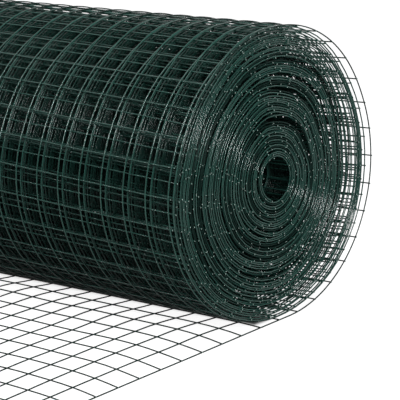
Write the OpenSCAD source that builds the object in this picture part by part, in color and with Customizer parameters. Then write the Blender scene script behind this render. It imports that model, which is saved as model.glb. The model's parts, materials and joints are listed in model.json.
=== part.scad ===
// Roll of welded wire fencing, lying on its side with its outer end laid out on the floor.
// X runs along the roll, the free end lies towards -Y, and the floor is at z = 0.
// One length of mesh runs from the free end under the roll, up its far side as a loose lap,
// over the top and down the near side as the outermost turn. The turns inside it are wound tight.

/* [Mesh] */
// Centre distance of neighbouring wires, along and across the fence
mesh_pitch = 25; // [16:0.5:50]
// Diameter of the coated wire, across the flats of its section
wire_d = 1; // [0.8:0.05:2]
// Depth that two wires sink into each other at a weld
weld_sink = 0.2; // [0.1:0.05:0.3]
// Length of a cut wire end past the last crossing
stub = 2; // [1:0.5:6]

/* [Roll] */
// Width of the fence between its two edge wires
fence_width = 1000; // [300:50:1500]
// Diameter of the hole left in the middle of the roll
bore_d = 34; // [20:1:80]
// Length of fence wound tight inside the outermost turn
wound_length = 23300; // [3000:100:30000]
// Play between one turn and the next
turn_play = 0.2; // [0.05:0.05:0.6]
// Depth of the groove between two turns on the ends of the roll
turn_groove = 2; // [0.5:0.25:5]

/* [Loose end] */
// Mesh laid out on the floor, from the last cross wire to the foot of the lap
laid_length = 340; // [150:5:600]
// Distance that the loose lap stands off the far side of the roll
lap_standoff = 11.5; // [4:0.5:30]
// Angle that the outermost turn follows the near side of the roll, from its top
snug_angle = 150; // [40:5:160]
// Gap between the tight roll and the mesh around it
seat_gap = 0.2; // [0.1:0.05:0.5]

/* [Hidden] */
coat_green = "#1f3f37";
stretches = 3; // stretches that each of the three runs of open mesh is divided into

// Mesh: the line wires run along the fence on its outer side, the cross wires lie inside them
mesh_t = 2 * wire_d - weld_sink;
openings = round(fence_width / mesh_pitch);
line_pitch = fence_width / openings;
wire_corner_d = wire_d / cos(30);

// Roll: whole turns that the wound length makes around the bore, and radii from the bore outwards
turn_build = mesh_t + turn_play;
turns = round((sqrt(pow(bore_d, 2) + 4 * turn_build * wound_length / PI) - bore_d) / (2 * turn_build));
roll_r = bore_d / 2 + turns * turn_build;
inner_r = roll_r + seat_gap;
cross_r = inner_r + wire_d / 2;
line_r = inner_r + mesh_t - wire_d / 2;
outer_r = inner_r + mesh_t;

// Section through the roll: the part's footprint is centred on the origin
axis_z = outer_r;
foot_y = (laid_length + stub - outer_r) / 2;
axis_y = foot_y - lap_standoff;

// Lengths along the mesh, from its last cross wire on the floor. The half circle of the lap is
// rounded to 0.01 mm, so that the legs on either side of it meet on one face
lap_arc = round(100 * PI * line_r) / 100;
deg_per_mm = 180 / lap_arc;
lap_end = laid_length + lap_arc;
top_end = lap_end + lap_standoff;
snug_end = top_end + snug_angle / deg_per_mm;

// Cross wires are counted from the free end: the last one of each run
last_laid = floor(laid_length / mesh_pitch);
last_lap = floor(top_end / mesh_pitch);
last_snug = floor(snug_end / mesh_pitch);
mesh_end = last_snug * mesh_pitch + stub;

// Centre and angle, in the section, of the arm that carries the mesh at length s
function arm(s) =
    s < laid_length ? [foot_y - laid_length + s, -90] :
    s < lap_end ? [foot_y, (s - laid_length) * deg_per_mm - 90] :
    s < top_end ? [foot_y + lap_end - s, 90] :
    [axis_y, (s - top_end) * deg_per_mm + 90];

// First cross wire of one of the stretches that cross wires a to b are shared out to
function stretch_row(a, b, n) = a + round((b - a + 1) * (n - 1) / stretches);

// Lays a drawing of the YZ section, extruded along its own Z, along the X axis
module along_x() {
    rotate([90, 0, 90]) children();
}

// Six-sided wire section, with one of its flats square to the angle given
module wire_section(flat_angle) {
    rotate(flat_angle + 30) circle(d = wire_corner_d, $fn = 6);
}

module cross_wire(s) {
    at = arm(s);
    along_x() linear_extrude(fence_width + 2 * stub, center = true)
        translate([at[0], axis_z]) rotate(at[1]) translate([cross_r, 0]) wire_section(0);
}

// Straight line wires between two places in the section, on the lower or the upper side
module straight_wires(y0, y1, side) {
    along_x() for (i = [0 : openings])
        translate([y0, axis_z + side * line_r, i * line_pitch - fence_width / 2])
            rotate([0, 90, 0]) linear_extrude(y1 - y0) wire_section(90);
}

// Curved line wires about one centre in the section. The sweep starts at the end that joins
// a straight leg, so that the two share that face: at a1 instead of a0 where from_a1 is true
module curved_wires(centre_y, a0, a1, from_a1 = false) {
    along_x() translate([centre_y, axis_z]) mirror([from_a1 ? 1 : 0, 0, 0]) for (i = [0 : openings])
        rotate(from_a1 ? 180 - a1 : a0) rotate_extrude(angle = a1 - a0, $fn = 180)
            translate([line_r, i * line_pitch - fence_width / 2]) wire_section(0);
}

// Line wires of the mesh from length s0 to length s1, leg by leg
module line_wires(s0, s1) {
    if (s0 < laid_length)
        straight_wires(arm(s0)[0], foot_y - laid_length + min(s1, laid_length), -1);
    if (s1 > laid_length && s0 < lap_end)
        curved_wires(foot_y, (max(s0, laid_length) - laid_length) * deg_per_mm - 90,
                     (min(s1, lap_end) - laid_length) * deg_per_mm - 90, s1 >= lap_end);
    if (s1 > lap_end && s0 < top_end)
        straight_wires(foot_y + lap_end - min(s1, top_end), foot_y + lap_end - max(s0, lap_end), 1);
    if (s1 > top_end)
        curved_wires(axis_y, (max(s0, top_end) - top_end) * deg_per_mm + 90, arm(s1)[1]);
}

// Stretch n of the run that has cross wires a to b, cut midway between two of them
module mesh_stretch(a, b, n) {
    first = stretch_row(a, b, n);
    last = stretch_row(a, b, n + 1) - 1;
    color(coat_green) {
        line_wires(first == 0 ? -stub : (first - 0.5) * mesh_pitch,
                   last == last_snug ? mesh_end : (last + 0.5) * mesh_pitch);
        for (k = [first : last]) cross_wire(k * mesh_pitch);
    }
}

// Mesh lying on the floor, from the free end to the foot of the lap
module laid_mesh(n) {
    mesh_stretch(0, last_laid, n);
}

// Mesh standing off the far side of the roll, up to its top
module loose_lap(n) {
    mesh_stretch(last_laid + 1, last_lap, n);
}

// Outermost turn, lying on the near side of the roll
module outer_turn(n) {
    mesh_stretch(last_lap + 1, last_snug, n);
}

// One end of the wound roll as points of its half section, from the bore outwards: every turn
// stands out as a ring one wire wide, between the bottoms of the grooves on its two sides
function turn_edges(x) = [
    for (k = [0 : turns - 1])
        let (r = bore_d / 2 + k * turn_build,
             ring = r + (turn_build - wire_d) / 2)
        each [[r, x - turn_groove], [ring, x], [ring + wire_d, x]],
    [roll_r, x - turn_groove]
];

// Tight turns as one turned body with the bore through it
module wound_roll() {
    half_x = (fence_width + wire_d) / 2;
    near_end = turn_edges(half_x);
    far_end = [for (i = [len(near_end) - 1 : -1 : 0]) [near_end[i][0], -near_end[i][1]]];
    color(coat_green) along_x() translate([axis_y, axis_z])
        rotate_extrude($fn = 180) polygon(concat(near_end, far_end));
}

wound_roll();
laid_mesh(1);  // laid_mesh_1
laid_mesh(2);  // laid_mesh_2
laid_mesh(3);  // laid_mesh_3
loose_lap(1);  // loose_lap_1
loose_lap(2);  // loose_lap_2
loose_lap(3);  // loose_lap_3
outer_turn(1);  // outer_turn_1
outer_turn(2);  // outer_turn_2
outer_turn(3);  // outer_turn_3
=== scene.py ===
# Roll of square welded wire fencing with a dark green coat, lying on its side.
# Its outer end is unrolled flat on the floor, and a loose lap stands off its far side.
# X runs along the roll, the free end lies towards -Y, and the floor is at z = 0.

import json
import math

import bpy
from mathutils import Matrix, Vector


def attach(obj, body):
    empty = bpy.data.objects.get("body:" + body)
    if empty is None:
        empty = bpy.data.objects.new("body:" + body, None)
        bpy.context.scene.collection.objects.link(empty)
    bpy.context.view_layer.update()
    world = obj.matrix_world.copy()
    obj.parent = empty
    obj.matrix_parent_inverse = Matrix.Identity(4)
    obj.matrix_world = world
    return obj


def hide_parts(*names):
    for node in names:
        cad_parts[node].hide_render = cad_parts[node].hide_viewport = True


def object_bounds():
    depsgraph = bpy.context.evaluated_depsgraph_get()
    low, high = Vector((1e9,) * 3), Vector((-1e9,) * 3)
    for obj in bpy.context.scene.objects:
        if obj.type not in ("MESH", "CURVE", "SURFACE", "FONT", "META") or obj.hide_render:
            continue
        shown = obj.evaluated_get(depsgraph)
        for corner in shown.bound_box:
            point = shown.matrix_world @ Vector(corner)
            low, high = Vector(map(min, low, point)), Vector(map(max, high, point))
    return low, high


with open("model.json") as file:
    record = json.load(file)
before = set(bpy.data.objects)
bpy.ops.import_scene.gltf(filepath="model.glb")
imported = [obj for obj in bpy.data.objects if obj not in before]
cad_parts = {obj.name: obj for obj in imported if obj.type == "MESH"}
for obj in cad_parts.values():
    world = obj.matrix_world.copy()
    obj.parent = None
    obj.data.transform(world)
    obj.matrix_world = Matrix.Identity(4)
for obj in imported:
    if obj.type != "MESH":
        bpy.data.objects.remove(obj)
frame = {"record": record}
cad_low, cad_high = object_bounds()


# The wire: drawn steel under a thin, satin coat of dark green plastic. Painted shade darkens the coat
# deep in the roll, on the laid out end and on the lap, and it keeps its full colour where it lies open.
# A sheared wire end shows the bare, zinc-bright steel inside the coat.

WIRE_D = 0.00115


class Field:
    """A node socket that takes part in arithmetic: each operation adds a Math node to its tree."""

    def __init__(self, socket):
        self.socket = socket

    def math(self, operation, *others):
        node = self.socket.id_data.nodes.new("ShaderNodeMath")
        node.operation = operation
        for slot, value in zip(node.inputs, (self, *others)):
            plug(value, slot)
        return Field(node.outputs[0])

    def __add__(self, other):
        return self.math("ADD", other)

    def __sub__(self, other):
        return self.math("SUBTRACT", other)

    def __mul__(self, other):
        return self.math("MULTIPLY", other)

    def __truediv__(self, other):
        return self.math("DIVIDE", other)

    def at_least(self, other):
        return self.math("MAXIMUM", other)

    def between(self, low, high):
        return self.at_least(low).math("MINIMUM", high)


def plug(value, slot):
    """Links a field to an input, or sets the input where the value is constant."""
    if isinstance(value, Field):
        slot.id_data.links.new(value.socket, slot)
    else:
        slot.default_value = value


def add(tree, kind, values=None, **settings):
    """Adds a node with its settings and its inputs by name, and gives it back."""
    node = tree.nodes.new(kind)
    for name, setting in settings.items():
        setattr(node, name, setting)
    for name, value in (values or {}).items():
        plug(value, node.inputs[name])
    return node


def new_group(name, kind, inputs, outputs):
    """A node group with named sockets; gives back the tree, its inputs by name and its output node."""
    tree = bpy.data.node_groups.new(name, kind)
    for socket_name, socket_type in inputs.items():
        tree.interface.new_socket(socket_name, in_out="INPUT", socket_type=socket_type)
    for socket_name, socket_type in outputs.items():
        tree.interface.new_socket(socket_name, in_out="OUTPUT", socket_type=socket_type)
    source = tree.nodes.new("NodeGroupInput")
    fields = {socket_name: Field(source.outputs[socket_name]) for socket_name in inputs}
    return tree, fields, tree.nodes.new("NodeGroupOutput")


def mottling_group():
    """Soft patches that make a finish lighter or darker, with a fine grain for its surface."""
    tree, given, result = new_group(
        "Mottling", "ShaderNodeTree",
        {"Patch size": "NodeSocketFloat", "Grain size": "NodeSocketFloat"},
        {"Patches": "NodeSocketFloat", "Grain": "NodeSocketFloat"})
    place = Field(add(tree, "ShaderNodeTexCoord").outputs["Object"])
    for size, detail, spots in (("Patch size", 3.0, "Patches"), ("Grain size", 2.0, "Grain")):
        scale = add(tree, "ShaderNodeMath", {0: 1.0, 1: given[size]}, operation="DIVIDE")
        noise = add(tree, "ShaderNodeTexNoise",
                    {"Vector": place, "Scale": Field(scale.outputs[0]), "Detail": detail})
        plug(Field(noise.outputs["Fac"]), result.inputs[spots])
    return tree


mottling = mottling_group()


def finish(name, dark, light, roughness, specular, graded=False,
           patch_size=0.02, grain_size=0.0004, grain_depth=0.00004):
    """A material whose colour and gloss wander between two values, with a fine grain as bump.
    The colour of a graded one goes from dark to light with the painted lightness stored on the wires,
    which paints shade into the coat."""
    material = bpy.data.materials.new(name)
    material.use_nodes = True
    tree = material.node_tree
    shader = tree.nodes["Principled BSDF"]
    shader.inputs["Specular IOR Level"].default_value = specular
    spots = add(tree, "ShaderNodeGroup", node_tree=mottling)
    spots.inputs["Patch size"].default_value = patch_size
    spots.inputs["Grain size"].default_value = grain_size
    patches = Field(spots.outputs["Patches"])
    tone = patches
    if graded:
        # Painted shade: a wire whose painted lightness is a half or more has its full colour, and below
        # that it is painted darker; the patches only break it up
        painted_lightness = add(tree, "ShaderNodeAttribute", attribute_name="painted_lightness")
        tone = Field(painted_lightness.outputs["Fac"]) * 2.0 + (patches - 0.5) * 0.3
    colour = add(tree, "ShaderNodeMix", {"Factor": tone}, data_type="RGBA")
    colour.inputs["A"].default_value = (*dark, 1.0)
    colour.inputs["B"].default_value = (*light, 1.0)
    plug(Field(colour.outputs["Result"]), shader.inputs["Base Color"])
    gloss = add(tree, "ShaderNodeMapRange", {"Value": patches})
    gloss.inputs["To Min"].default_value = roughness[0]
    gloss.inputs["To Max"].default_value = roughness[1]
    plug(Field(gloss.outputs["Result"]), shader.inputs["Roughness"])
    bump = add(tree, "ShaderNodeBump", {"Height": Field(spots.outputs["Grain"]), "Distance": grain_depth})
    plug(Field(bump.outputs["Normal"]), shader.inputs["Normal"])
    return material


green_coat = finish("green_coat", (0.014, 0.056, 0.044), (0.026, 0.086, 0.069), (0.12, 0.20), 0.7)
# Painted shade: the inner, second and deep coats are darkened copies of the green coat, graded by the
# painted lightness stored on the wires
inner_coat_painted_shade = finish("inner_coat_painted_shade", (0.002, 0.009, 0.007), (0.024, 0.086, 0.069), (0.13, 0.20), 0.4,
                    graded=True)
second_coat_painted_shade = finish("second_coat_painted_shade", (0.002, 0.009, 0.007), (0.024, 0.086, 0.069), (0.13, 0.20), 0.24,
                     graded=True)
deep_coat_painted_shade = finish("deep_coat_painted_shade", (0.002, 0.008, 0.006), (0.018, 0.066, 0.054), (0.25, 0.35), 0.12,
                   graded=True)
cut_steel = finish("cut_steel", (0.01, 0.03, 0.02), (0.52, 0.68, 0.62), (0.28, 0.45), 0.5,
                   patch_size=0.004, grain_size=0.0002, grain_depth=0.00002)


# The fence: line wires along it and cross wires across it, a square opening apart and welded where
# they meet. The line wires lie on the outer side of the roll. The flat fence is wound by one rule.

OPENING = 0.025
HALF_WIDTH = 0.5
STUB = 0.002
WELD_SINK = 0.0002
LINE_WIRES = round(2 * HALF_WIDTH / OPENING) + 1

# Lengths along the fence and radii, as the roll lies: laid out, up the far side as a lap, then wound
bore = next(m for m in frame["record"]["mounts"] if m["name"] == "core_bore")
AXIS_Y, AXIS_Z = bore["pos_m"][1:]
OUTER_R = cad_high.z / 2
HALF_LIFT = (WIRE_D - WELD_SINK) / 2
SHEET_R = OUTER_R - WIRE_D / 2 - HALF_LIFT
FOOT_Y = cad_high.y - OUTER_R
LAID_LENGTH = FOOT_Y - cad_low.y - STUB
LAP_END = LAID_LENGTH + math.pi * SHEET_R
TOP_END = LAP_END + FOOT_Y - AXIS_Y

# Turns: the radius that each adds, and the step from the lap down to the turns inside it
TURN_BUILD = 0.002
SEAT_DROP = 0.001
TURNS = (SHEET_R - SEAT_DROP - bore["dims"]["r_mm"] / 1000 - HALF_LIFT - WIRE_D / 2) / TURN_BUILD

# Slant of the wound cross wires, and the lengths that they stray by in the second turn and further in
SKEW = 0.052
SECOND_STRAY = 0.3 * OPENING
WANDER = 0.05

# Small bends of the wires, in each metre: across the fence, along it and out of it, and out of the
# laid out end
BENDS_PER_METRE = 8.0
BENT_ACROSS = 0.0012
BENT_ALONG = 0.004
BENT_OUT = 0.0006
LAID_WAVE = 0.006

# Rise of the laid out end between its edges and the distance from an edge that it takes, and the
# distances from its last row between which the roll comes to press it flat
DOME_HEIGHT = 0.006
DOME_EDGE = 0.024
PRESS_START = 0.10
PRESS_FLAT = 0.015

# How far the innermost turn stands out at the near end, how far the turns slip, how far the outermost
# and the next ones are set back, and how far the second springs out on the far side
CORE_SLIDE = 0.0030
TURN_SLIP = 0.0012
OUTERMOST_BACK = 0.0035
NEXT_BACK = 0.0010
LOOSE_TURN = 0.0029

# Turns that keep the coat's full colour before painted shade deepens into the roll, and the margin of the
# fence that shows on the two ends
UNSHADED_TURNS = 0.9
OPEN_EDGE = 0.0012

# Crescent gaps between turns: turn from the outside, direction on the near end, half spread and depth.
# The first five are the dent and the bulges of the whole roll: a negative depth stands out.
GAPS = [
    (0, 138, 42, 0.0022), (0, 200, 48, -0.0028), (0, 70, 50, -0.0025), (1, 0, 90, -0.0030),
    (1, 78, 48, -0.0027), (4, -62, 40, 0.0022), (9, -20, 66, 0.0032), (11, -15, 64, 0.0028),
    (13, -20, 62, 0.0026), (15, 48, 50, 0.0026), (17, -22, 60, 0.0022), (21, 48, 50, 0.0030),
    (26, 48, 50, 0.0030), (20, -95, 55, 0.0012), (22, -95, 55, 0.0012), (24, -95, 55, 0.0013),
    (34, -80, 80, 0.0011), (36, 108, 42, 0.0026), (37, 52, 55, 0.0042), (37, 232, 30, 0.0016),
    (40, -70, 80, 0.0010), (46, -60, 80, 0.0010), (49, -70, 85, 0.0012)]

# Turns that lie a little loose all along the near side, with the depth of their gap
GAPS += [(turn, 155, 125, depth) for turn, depth in (
    (3, 0.0014), (4, 0.0012), (8, 0.0009), (10, 0.0013), (12, 0.0013), (15, 0.0012),
    (17, 0.0021), (21, 0.0012), (23, 0.0010), (26, 0.0009), (27, 0.0012), (28, 0.0023),
    (30, 0.0006), (32, 0.0007), (33, 0.0007), (35, 0.0013), (37, 0.0008), (38, 0.0011),
    (39, 0.0010), (43, 0.0017), (44, 0.0005), (46, 0.0008), (47, 0.0010), (50, 0.0022))]


def smooth_range(tree, value, low, high, at_low, at_high):
    """Goes smoothly from one value to another while a field runs from low to high."""
    node = add(tree, "ShaderNodeMapRange", {"Value": value}, interpolation_type="SMOOTHSTEP")
    for name, number in zip(("From Min", "From Max", "To Min", "To Max"), (low, high, at_low, at_high)):
        node.inputs[name].default_value = number
    return Field(node.outputs["Result"])


def crescent(tree, turn, facing, gap):
    """Depth of a gap in one direction of the roll, and how far it has let this turn sink."""
    first, direction, spread, depth = gap
    opens_at = first + (direction - 90) / 360 - 0.5
    width = (facing - math.radians(direction)).math("COSINE")
    window = smooth_range(tree, width, math.cos(math.radians(spread)), 1.0, 0.0, depth)
    return window, window * turn.math("GREATER_THAN", opens_at)


def turn_noise(tree, turn, scale):
    """A value for each turn, which goes slowly over to that of the next one."""
    noise = add(tree, "ShaderNodeTexNoise", {"W": turn, "Scale": scale, "Detail": 1.0},
                noise_dimensions="1D")
    return Field(noise.outputs["Fac"])


def winding_group():
    """Lays the flat fence round the roll. Flat, X is across it, Y is the length from its free end,
    and Z is the height on its outer side."""
    tree, given, result = new_group("Wind the fence", "GeometryNodeTree",
                                    {"Geometry": "NodeSocketGeometry"}, {"Geometry": "NodeSocketGeometry"})
    flat = Field(add(tree, "GeometryNodeInputPosition").outputs["Position"])
    parts = add(tree, "ShaderNodeSeparateXYZ", {"Vector": flat}).outputs
    across, along, height = (Field(parts[axis]) for axis in "XYZ")

    # Handling leaves every wire slightly bent: the same drift for both wires of a weld
    sheet = add(tree, "ShaderNodeCombineXYZ", {"X": across, "Y": along})
    drift = add(tree, "ShaderNodeTexNoise",
                {"Vector": Field(sheet.outputs[0]), "Scale": BENDS_PER_METRE, "Detail": 1.0})
    bends = add(tree, "ShaderNodeSeparateXYZ", {"Vector": Field(drift.outputs["Color"])}).outputs
    bend_x, bend_y, bend_z = (Field(bends[axis]) - 0.5 for axis in "XYZ")

    # Turn that the length has reached, counted from the top of the roll, and the direction it faces
    on_lap = (along - LAID_LENGTH).between(0.0, LAP_END - LAID_LENGTH)
    on_top = (along - LAP_END).between(0.0, TOP_END - LAP_END)
    wound = (along - TOP_END).at_least(0.0)
    root = (wound * (-TURN_BUILD / math.pi) + SHEET_R ** 2).math("SQRT")
    swept = (root * -1.0 + SHEET_R) * (2 * math.pi / TURN_BUILD)
    turn = swept / (2 * math.pi)
    is_wound = turn.math("GREATER_THAN", 0.0)
    facing = on_lap / SHEET_R + swept - math.pi / 2

    # Cross wires of one turn don't lie over those of the next, and the fence is wound askew
    astray = smooth_range(tree, turn, 0.2, 1.0, 0.0, SECOND_STRAY)
    further_in = smooth_range(tree, turn, 1.0, 1.6, 0.0, 1.0)
    astray = astray + (turn_noise(tree, turn, 1.7) - 0.5) * WANDER * further_in
    drifted = (bend_y * BENT_ALONG + astray) / SHEET_R
    from_near = across - HALF_WIDTH
    askew = from_near * (from_near / (4 * HALF_WIDTH) + 1.0)
    skewed = smooth_range(tree, along, LAID_LENGTH, TOP_END, 0.0, SKEW) * askew
    angle = facing + drifted * is_wound + skewed / SHEET_R

    # Radius of the turn: a spiral that sinks by the gaps outside it. Each gap makes all turns of its
    # direction lie a little tighter, so that the bore is round again
    radius = turn * -TURN_BUILD + SHEET_R - smooth_range(tree, turn, 0.0, 0.5, 0.0, SEAT_DROP)
    share = turn / TURNS
    for gap in GAPS:
        depth, sunk = crescent(tree, turn, facing, gap)
        radius = radius + depth * share - sunk
    loose = smooth_range(tree, turn, 0.85, 1.6, LOOSE_TURN, 0.0)
    far_side = facing.math("COSINE").at_least(0.0)
    radius = radius + loose * far_side * far_side * is_wound
    radius = radius + height + bend_z * BENT_OUT * is_wound

    # The laid out end lifts off the floor between its edges, and the roll presses it flat
    from_edge = across.math("ABSOLUTE") * -1.0 + HALF_WIDTH
    edge_fall = (from_edge.at_least(0.0) * (-1 / DOME_EDGE)).math("EXPONENT")
    end_fall = (along.at_least(0.0) * (-1 / DOME_EDGE)).math("EXPONENT")
    pressed = smooth_range(tree, along, LAID_LENGTH - PRESS_START, LAID_LENGTH - PRESS_FLAT, 1.0, 0.0)
    dome = (edge_fall * -1.0 + 1.0) * (end_fall * -1.0 + 1.0) * pressed
    lift = dome * (bend_z * LAID_WAVE + DOME_HEIGHT)

    # Turns slide along the roll, and the inner ones stand out at its near end
    slip = turn_noise(tree, turn, 1.1)
    set_back = smooth_range(tree, turn, 0.40, 0.72, -OUTERMOST_BACK, 0.0)
    set_back = set_back + smooth_range(tree, turn, 1.0, 5.0, -NEXT_BACK, 0.0)
    set_back = set_back * smooth_range(tree, turn, 0.0, 0.2, 0.0, 1.0)
    slide = turn * (CORE_SLIDE / TURNS) + (slip - 0.5) * TURN_SLIP * is_wound + set_back

    centre_y = (along - LAID_LENGTH).math("MINIMUM", 0.0) - on_top + FOOT_Y
    place = add(tree, "ShaderNodeCombineXYZ", {
        "X": across + slide + bend_x * BENT_ACROSS,
        "Y": centre_y + radius * angle.math("COSINE"),
        "Z": radius * angle.math("SINE") + lift + AXIS_Z})

    # Painted shade: the coat is painted darker the deeper a turn lies, on the edges of turns that are set
    # back and on the laid out end and the lap. The outermost turn, the edges of turns that stand out and,
    # a little, the innermost turns keep more of the full colour
    is_edge = from_edge.math("LESS_THAN", OPEN_EDGE)
    # Painted highlight and shade: the edges of turns that stand out are lighter, those set back darker
    stands_out = smooth_range(tree, slip, 0.40, 0.55, 0.10, 1.0)
    stands_out = stands_out.at_least(turn.math("LESS_THAN", 1.2))
    depth_lightness = turn.at_least(UNSHADED_TURNS / 2).math("POWER", -1.0) * (UNSHADED_TURNS / 2)
    depth_lightness = depth_lightness.at_least(smooth_range(tree, turn, 5.0, 11.0, 0.20, 0.04))
    depth_lightness = depth_lightness.at_least(smooth_range(tree, turn, TURNS - 3, TURNS - 1, 0.0, 0.3))
    # Painted shade on the laid out end and the lap
    laid_and_lap_shade = smooth_range(tree, turn, 0.0, 0.08, 0.12, 1.0)
    painted_lightness = add(tree, "GeometryNodeStoreNamedAttribute", {
        "Geometry": given["Geometry"], "Name": "painted_lightness",
        "Value": (is_edge * stands_out).at_least(depth_lightness) * laid_and_lap_shade},
        data_type="FLOAT", domain="POINT")
    moved = add(tree, "GeometryNodeSetPosition",
                {"Geometry": Field(painted_lightness.outputs[0]), "Position": Field(place.outputs[0])})
    plug(Field(moved.outputs[0]), result.inputs["Geometry"])
    return tree


winding = winding_group()


def vector(tree, x=0.0, y=0.0, z=0.0):
    """A place or a step in the flat fence."""
    return Field(add(tree, "ShaderNodeCombineXYZ", {"X": x, "Y": y, "Z": z}).outputs[0])


def wire_row(tree, start, end, points, copies, first, step):
    """Flat wires of one kind: a line with evenly spaced points, repeated at equal steps."""
    line = add(tree, "GeometryNodeCurvePrimitiveLine", {"Start": start, "End": end})
    even = add(tree, "GeometryNodeResampleCurve", {"Curve": Field(line.outputs[0]), "Count": points})
    places = add(tree, "GeometryNodeMeshLine", {"Count": copies, "Start Location": first, "Offset": step})
    spread = add(tree, "GeometryNodeInstanceOnPoints",
                 {"Points": Field(places.outputs[0]), "Instance": Field(even.outputs[0])})
    flat = add(tree, "GeometryNodeRealizeInstances", {"Geometry": Field(spread.outputs[0])})
    return Field(flat.outputs[0])


def wire_tubes(tree, flat, sides):
    """Winds flat wires and gives them their round section, as wide as the wire on average."""
    wound = add(tree, "GeometryNodeGroup", {"Geometry": flat}, node_tree=winding)
    girth = (sides.math("POWER", -1.0) * math.pi).math("SINE") * sides * 2.0
    radius = girth.math("POWER", -1.0) * (math.pi * WIRE_D)
    section = add(tree, "GeometryNodeCurvePrimitiveCircle", {"Resolution": sides, "Radius": radius})
    tube = add(tree, "GeometryNodeCurveToMesh", {
        "Curve": Field(wound.outputs[0]), "Profile Curve": Field(section.outputs[0]), "Fill Caps": True})
    return Field(tube.outputs[0])


def fence_group():
    """A stretch of fence on the roll, with its coat and its sheared cross wire ends."""
    tree, given, result = new_group("Fence stretch", "GeometryNodeTree", {
        "Start": "NodeSocketFloat", "End": "NodeSocketFloat", "Line points": "NodeSocketInt",
        "First line wire": "NodeSocketInt", "Line wires": "NodeSocketInt", "Line sides": "NodeSocketInt",
        "First cross wire": "NodeSocketInt", "Cross wires": "NodeSocketInt",
        "Cross points": "NodeSocketInt", "Cross sides": "NodeSocketInt",
        "Full colour coat": "NodeSocketMaterial", "Shade painted coat": "NodeSocketMaterial",
        "Cut end": "NodeSocketMaterial"}, {"Geometry": "NodeSocketGeometry"})
    tree.is_modifier = True
    lines = wire_row(
        tree, vector(tree, y=given["Start"], z=HALF_LIFT), vector(tree, y=given["End"], z=HALF_LIFT),
        given["Line points"], given["Line wires"],
        vector(tree, x=given["First line wire"] * OPENING - HALF_WIDTH), vector(tree, x=OPENING))
    reach = HALF_WIDTH + STUB
    crosses = wire_row(
        tree, vector(tree, x=-reach, z=-HALF_LIFT), vector(tree, x=reach, z=-HALF_LIFT),
        given["Cross points"], given["Cross wires"],
        vector(tree, y=given["First cross wire"] * OPENING), vector(tree, y=OPENING))
    line_tubes = wire_tubes(tree, lines, given["Line sides"])
    cross_tubes = wire_tubes(tree, crosses, given["Cross sides"])

    # The sheared ends of the cross wires are the faces that look along the roll
    normal = Field(add(tree, "GeometryNodeInputNormal").outputs[0])
    faces_x = Field(add(tree, "ShaderNodeSeparateXYZ", {"Vector": normal}).outputs["X"])
    marked = add(tree, "GeometryNodeStoreNamedAttribute", {
        "Geometry": cross_tubes, "Name": "sheared",
        "Value": faces_x.math("ABSOLUTE").math("GREATER_THAN", 0.8)},
        data_type="FLOAT", domain="FACE")
    both = add(tree, "GeometryNodeJoinGeometry")
    for tubes in (line_tubes, Field(marked.outputs[0])):
        plug(tubes, both.inputs[0])
    sheared = add(tree, "GeometryNodeInputNamedAttribute", {"Name": "sheared"}, data_type="FLOAT")
    is_end = Field(sheared.outputs["Attribute"]).math("GREATER_THAN", 0.5)
    soft = add(tree, "GeometryNodeSetShadeSmooth", {
        "Geometry": Field(both.outputs[0]), "Shade Smooth": is_end * -1.0 + 1.0})
    whole = add(tree, "GeometryNodeRealizeInstances", {"Geometry": Field(soft.outputs[0])})

    # Painted shade: wires whose painted lightness is low get the darkened coat, the others the coat's full
    # colour
    shade_painted_coat = add(tree, "GeometryNodeSetMaterial",
                  {"Geometry": Field(whole.outputs[0]), "Material": given["Shade painted coat"]})
    painted_lightness = add(tree, "GeometryNodeInputNamedAttribute", {"Name": "painted_lightness"}, data_type="FLOAT")
    is_unshaded = Field(painted_lightness.outputs["Attribute"]).math("GREATER_THAN", 0.5)
    coated = add(tree, "GeometryNodeSetMaterial", {
        "Geometry": Field(shade_painted_coat.outputs[0]), "Selection": is_unshaded, "Material": given["Full colour coat"]})
    ended = add(tree, "GeometryNodeSetMaterial", {
        "Geometry": Field(coated.outputs[0]), "Selection": is_end, "Material": given["Cut end"]})
    plug(Field(ended.outputs[0]), result.inputs["Geometry"])
    return tree


fence = fence_group()


def made_piece(name, tree, values, *stands_for):
    """Runs a node tree with its inputs set and keeps the result as a plain mesh that rides on the roll."""
    blank = bpy.data.meshes.new(name)
    piece = bpy.data.objects.new(name, blank)
    bpy.context.scene.collection.objects.link(piece)
    modifier = piece.modifiers.new("Make", "NODES")
    modifier.node_group = tree
    for item in tree.interface.items_tree:
        if item.in_out == "INPUT" and item.name in values:
            modifier[item.identifier] = values[item.name]
    evaluated = piece.evaluated_get(bpy.context.evaluated_depsgraph_get())
    mesh = bpy.data.meshes.new_from_object(evaluated)
    piece.modifiers.remove(modifier)
    piece.data = mesh
    bpy.data.meshes.remove(blank)
    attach(piece, "root")
    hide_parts(*stands_for)


def stretch(name, rows, line_wires, line_detail, cross_detail, shade_painted_coat, *stands_for):
    """A stretch between two rows of the mesh. Detail is points in an opening and sides, or the
    points of a whole cross wire and sides."""
    start, end = rows
    first_wire, last_wire = line_wires
    line_points, line_sides = line_detail
    first_cross = math.ceil(start)
    cross_wires = math.ceil(end) - first_cross if cross_detail else 0
    cross_points, cross_sides = cross_detail or (2, 3)
    made_piece(name, fence, {
        "Start": start * OPENING, "End": end * OPENING,
        "Line points": round((end - start) * line_points) + 1,
        "First line wire": first_wire, "Line wires": last_wire - first_wire + 1,
        "Line sides": line_sides,
        "First cross wire": first_cross, "Cross wires": cross_wires,
        "Cross points": cross_points, "Cross sides": cross_sides,
        "Full colour coat": green_coat, "Shade painted coat": shade_painted_coat, "Cut end": cut_steel}, *stands_for)


ALL_WIRES = (0, LINE_WIRES - 1)
EACH_OPENING = 2 * (LINE_WIRES - 1) + 1


# The outer end of the fence, unrolled flat on the floor from its cut edge to the foot of the roll.
# Its long edges touch the floor and the middle springs up a little.

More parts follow.
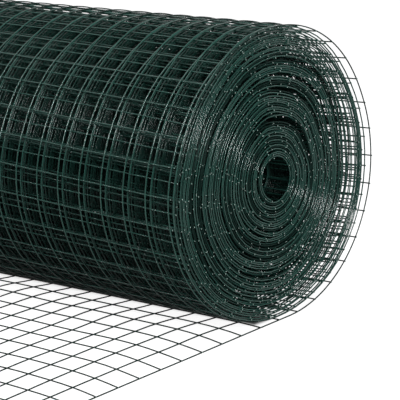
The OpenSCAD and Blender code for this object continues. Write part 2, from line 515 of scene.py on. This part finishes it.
LAID_ROWS = round(LAID_LENGTH / OPENING)
stretch("laid_out_end", (-STUB / OPENING, LAID_ROWS), ALL_WIRES, (3, 6), (EACH_OPENING, 6), inner_coat_painted_shade,
        "laid_mesh_1", "laid_mesh_2", "laid_mesh_3")


# The loose lap: from the floor behind the roll up its far side and over the top,
# sprung away from the turns inside it.

LAP_ROWS = round(TOP_END / OPENING)
stretch("loose_lap", (LAID_ROWS, LAP_ROWS), ALL_WIRES, (4, 6), (EACH_OPENING, 6), inner_coat_painted_shade,
        "loose_lap_1", "loose_lap_2", "loose_lap_3")


# The turns of the roll, from the outside in. The outer ones show on the long side through each
# other's openings. The inner ones show only on the two ends, so their edge wires are the finer ones.

def row_at(turn):
    """Row of the mesh, from the free end, that lies at a turn counted from the outside of the roll."""
    swept = 2 * math.pi * turn
    length = TOP_END + SHEET_R * swept - TURN_BUILD * swept ** 2 / (4 * math.pi)
    return round(length / OPENING)


stretch("outer_turns", (LAP_ROWS, row_at(4)), ALL_WIRES, (2, 5), (LINE_WIRES, 5), inner_coat_painted_shade,
        "outer_turn_1", "outer_turn_2", "outer_turn_3")
stretch("second_turns", (row_at(4), row_at(10)), ALL_WIRES, (2, 4), (LINE_WIRES, 4), second_coat_painted_shade,
        "wound_roll")

EDGE_WIRES = 3
FAR_WIRES = (0, EDGE_WIRES - 1)
INNER_WIRES = (EDGE_WIRES, LINE_WIRES - 1 - EDGE_WIRES)
NEAR_WIRES = (LINE_WIRES - EDGE_WIRES, LINE_WIRES - 1)
CROSS_DETAIL = (11, 4)
deep_turns = [("middle_turns", 10, 26, 1, 2),
              ("inner_turns", 26, 42, 2, 3),
              ("core_turns", 42, TURNS, 4, 6)]
for name, from_turn, to_turn, hidden_points, edge_points in deep_turns:
    rows = (row_at(from_turn), row_at(to_turn))
    stretch(name, rows, INNER_WIRES, (hidden_points, 3), CROSS_DETAIL, deep_coat_painted_shade, "wound_roll")
    for edge, edge_wires in (("_near_edge", NEAR_WIRES), ("_far_edge", FAR_WIRES)):
        stretch(name + edge, rows, edge_wires, (edge_points, 6), None, deep_coat_painted_shade, "wound_roll")


# The studio: a pale floor, a white surround and three soft lamps. One is wide and hangs above, one is
# long and low at the side, and one faces the near end.

def area_lamp(name, place, aim, size, power):
    """A rectangular lamp that is turned to the place it lights."""
    lamp = bpy.data.lights.new(name, "AREA")
    lamp.shape = "RECTANGLE"
    lamp.size, lamp.size_y = size
    lamp.energy = power
    holder = bpy.data.objects.new(name, lamp)
    holder.location = place
    holder.rotation_euler = (Vector(aim) - Vector(place)).to_track_quat("-Z", "Y").to_euler()
    bpy.context.scene.collection.objects.link(holder)


area_lamp("top_lamp", (0.5, -0.5, 2.4), (0.2, 0.0, 0.1), (1.4, 1.4), 24.0)
area_lamp("side_lamp", (-0.2, -1.9, 1.46), (0.2, 0.0, 0.12), (2.4, 0.07), 23.0)
area_lamp("front_lamp", (2.35, -0.45, 1.0), (0.5, 0.08, 0.12), (0.9, 0.3), 33.5)


def ways_seen(tree):
    """Whether the eye or glass looks straight at a surface, and whether a gloss shows it."""
    rays = add(tree, "ShaderNodeLightPath").outputs
    straight = Field(rays["Is Camera Ray"]).at_least(Field(rays["Is Transmission Ray"]))
    return straight, Field(rays["Is Glossy Ray"])


# The surround is white in view. Its half behind the roll also lights the roll a little
SURROUND_LIGHT = 0.15
FRONT = (0.65, -0.72, 0.24)

world = bpy.data.worlds.new("surround")
world.use_nodes = True
bpy.context.scene.world = world
surround_tree = world.node_tree
surround = surround_tree.nodes["Background"]
surround.inputs["Color"].default_value = (1.0, 1.0, 1.0, 1.0)
straight, in_gloss = ways_seen(surround_tree)
around = Field(add(surround_tree, "ShaderNodeTexCoord").outputs["Generated"])
frontness = add(surround_tree, "ShaderNodeVectorMath", {0: around}, operation="DOT_PRODUCT")
frontness.inputs[1].default_value = FRONT
rear = smooth_range(surround_tree, Field(frontness.outputs["Value"]), -0.4, 0.3, 1.0, 0.0)
level = in_gloss * (1 - SURROUND_LIGHT) + SURROUND_LIGHT
plug(straight.at_least(rear * level), surround.inputs["Strength"])

# The floor is grey to the roll and white in view. Only the narrow strip in front of the line that the
# roll rests on isn't white, and keeps the roll's deep shadow
FLOOR_HALF = 6.0
FLOOR_GREY = 0.34
FLOOR_WHITE = 0.93
FLOOR_IN_GLOSS = 0.15
STRIP_DEPTH = 0.023
STRIP_MARGIN = 0.010
STRIP_SOFT = 0.005
FOOT_SOFT = 0.004

floor_mesh = bpy.data.meshes.new("floor")
corners = [(-FLOOR_HALF, -FLOOR_HALF, 0), (FLOOR_HALF, -FLOOR_HALF, 0),
           (FLOOR_HALF, FLOOR_HALF, 0), (-FLOOR_HALF, FLOOR_HALF, 0)]
floor_mesh.from_pydata(corners, [], [(0, 1, 2, 3)])
floor = bpy.data.objects.new("floor", floor_mesh)
bpy.context.scene.collection.objects.link(floor)
pale = bpy.data.materials.new("pale_floor")
pale.use_nodes = True
pale_tree = pale.node_tree
pale_shader = pale_tree.nodes["Principled BSDF"]
pale_shader.inputs["Base Color"].default_value = (FLOOR_GREY, FLOOR_GREY, FLOOR_GREY, 1.0)
pale_shader.inputs["Roughness"].default_value = 0.9
pale_shader.inputs["Specular IOR Level"].default_value = 0.0
pale_shader.inputs["Emission Color"].default_value = (1.0, 1.0, 1.0, 1.0)
place = Field(add(pale_tree, "ShaderNodeTexCoord").outputs["Object"])
on_floor = add(pale_tree, "ShaderNodeSeparateXYZ", {"Vector": place}).outputs
behind_foot = Field(on_floor["Y"]) - AXIS_Y
from_middle = Field(on_floor["X"]).math("ABSOLUTE")
strip_end = HALF_WIDTH - STRIP_MARGIN
is_clear = smooth_range(
    pale_tree, behind_foot, -STRIP_DEPTH - STRIP_SOFT, -STRIP_DEPTH + STRIP_SOFT, 1.0, 0.0)
is_clear = is_clear.at_least(smooth_range(pale_tree, behind_foot, -FOOT_SOFT, FOOT_SOFT, 0.0, 1.0))
is_clear = is_clear.at_least(
    smooth_range(pale_tree, from_middle, strip_end - STRIP_SOFT, strip_end + STRIP_SOFT, 0.0, 1.0))
straight, in_gloss = ways_seen(pale_tree)
shown = straight.at_least(in_gloss * FLOOR_IN_GLOSS)
plug(shown * is_clear * FLOOR_WHITE, pale_shader.inputs["Emission Strength"])
floor_mesh.materials.append(pale)


# The camera stands off the near end, a little above the roll, with a long lens.
# It is tilted sideways by a few degrees.

AZIMUTH, ELEVATION, TILT = (math.radians(angle) for angle in (42.43, 14.45, -3.75))
back = Vector((math.sin(AZIMUTH) * math.cos(ELEVATION), -math.cos(AZIMUTH) * math.cos(ELEVATION),
               math.sin(ELEVATION)))
right = Vector((math.cos(AZIMUTH), math.sin(AZIMUTH), 0.0))
up = back.cross(right)
tilted_right = right * math.cos(TILT) + up * math.sin(TILT)
tilted_up = up * math.cos(TILT) - right * math.sin(TILT)
camera = bpy.data.objects.new("camera", bpy.data.cameras.new("camera"))
camera.data.sensor_width = 36.0
camera.data.lens = 195.8
camera.matrix_world = Matrix((tilted_right, tilted_up, back)).transposed().to_4x4()
camera.location = (1.65, -1.253, 0.567)
camera.data.clip_start = 0.05
bpy.context.scene.collection.objects.link(camera)
bpy.context.scene.camera = camera
bpy.context.scene.view_settings.view_transform = "Standard"
